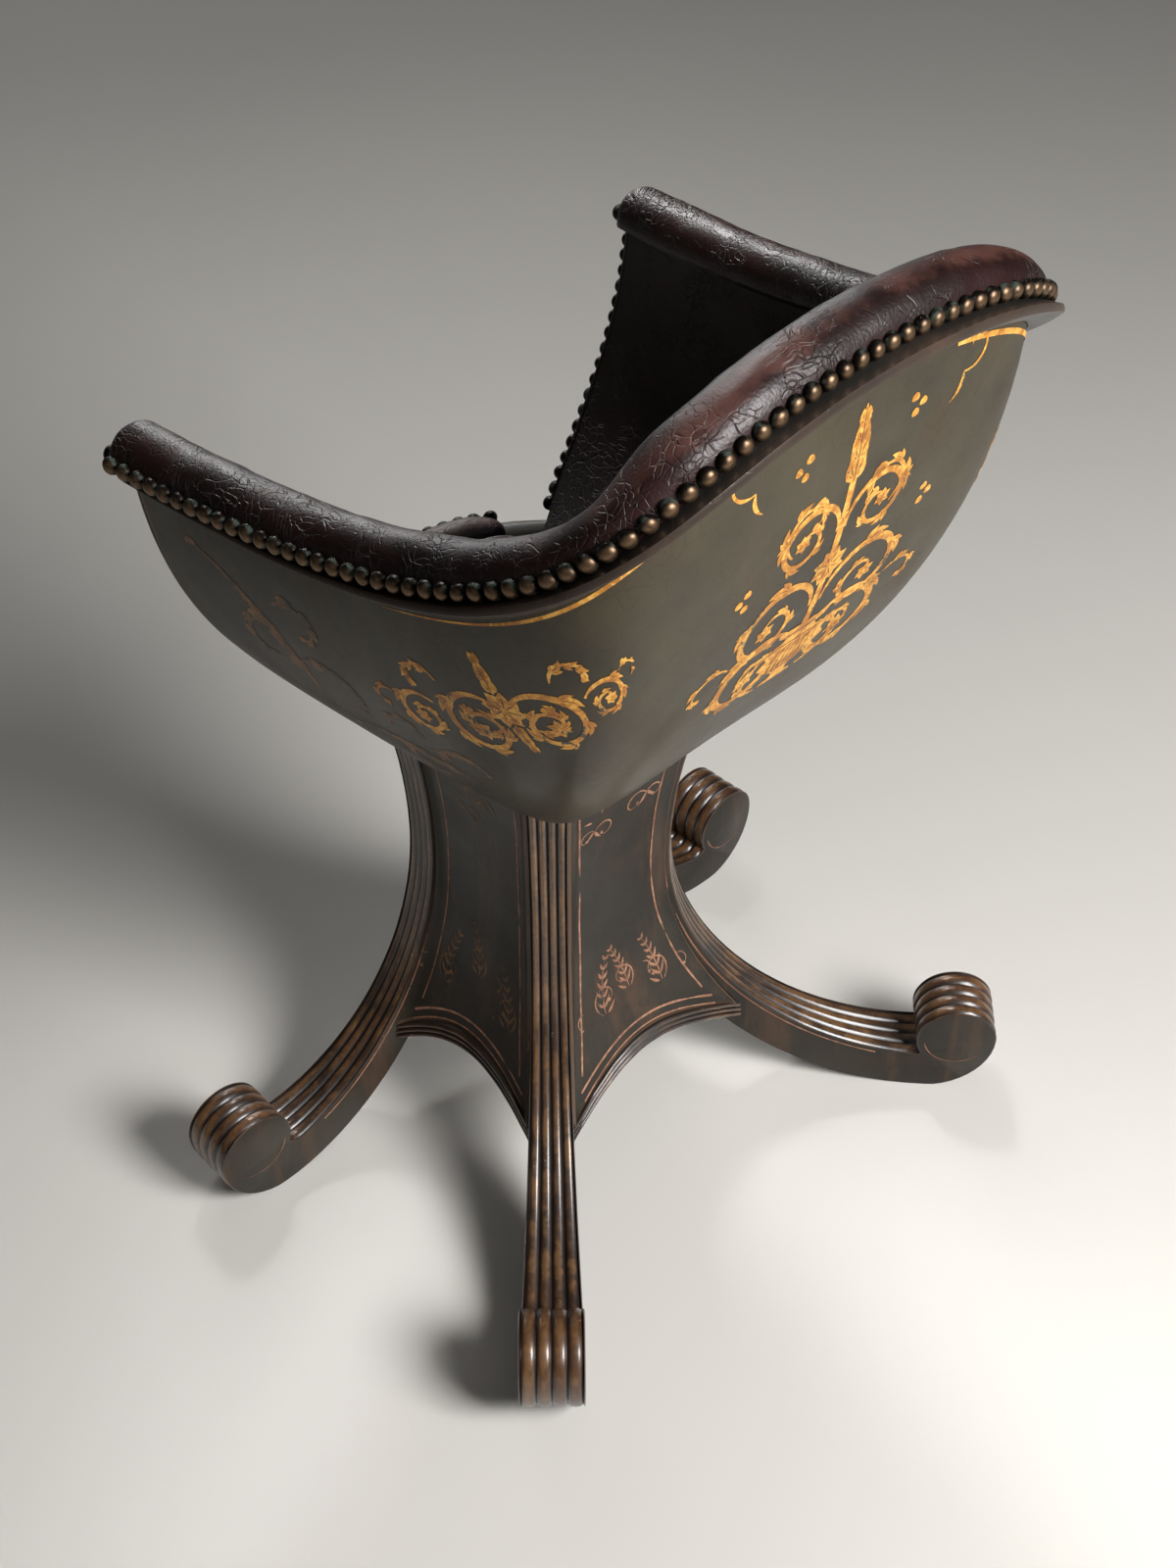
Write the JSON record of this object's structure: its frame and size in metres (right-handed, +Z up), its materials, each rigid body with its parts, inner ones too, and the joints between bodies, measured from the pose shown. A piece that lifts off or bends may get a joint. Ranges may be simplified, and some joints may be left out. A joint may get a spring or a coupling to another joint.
{
  "type": "gondola chair",
  "caption": "Antique gondola chair: dark lacquered bowl seat with a nailed leather rim, on a waisted column with sabre legs and scroll feet",
  "frame": {"origin": "on the floor, in the middle of the chair's width and depth", "axes": "+Z up; the sitter faces -Y; +X is at the sitter's left hand"},
  "size_m": [0.5512, 0.4274, 0.7573],
  "materials": {
    "lacquer": "dark olive-black lacquer over moulded wood, worn to a soft gloss",
    "reeded_wood": "dark lacquer rubbed through to bronze on the reeds",
    "bare_wood": "bare, sawn and planed",
    "leather": "old oxblood leather, creased and cracked, over padding",
    "bronze": "dull bronze with green in the joints",
    "steel": "plain"
  },
  "bodies": {
    "root": {"back_left_leg": "reeded_wood", "back_right_leg": "reeded_wood", "front_left_leg": "reeded_wood", "front_right_leg": "reeded_wood", "back_panel": "lacquer", "front_panel": "lacquer", "left_panel": "lacquer", "right_panel": "lacquer", "back_arch": "reeded_wood", "front_arch": "reeded_wood", "left_arch": "reeded_wood", "right_arch": "reeded_wood", "column_top_plate": "bare_wood", "column_brace": "bare_wood", "seat_board": "bare_wood", "board_screws": "steel", "seat_shell": "lacquer", "front_apron": "lacquer", "rim_moulding": "lacquer", "inner_lining": "leather", "seat_pad": "leather", "rim_roll": "leather", "left_arm_binding": "leather", "right_arm_binding": "leather", "front_roll": "leather", "left_rim_nails": "bronze", "right_rim_nails": "bronze", "back_nail": "bronze", "left_arm_nails": "bronze", "right_arm_nails": "bronze", "front_nails": "bronze"}
  },
  "joints": []
}
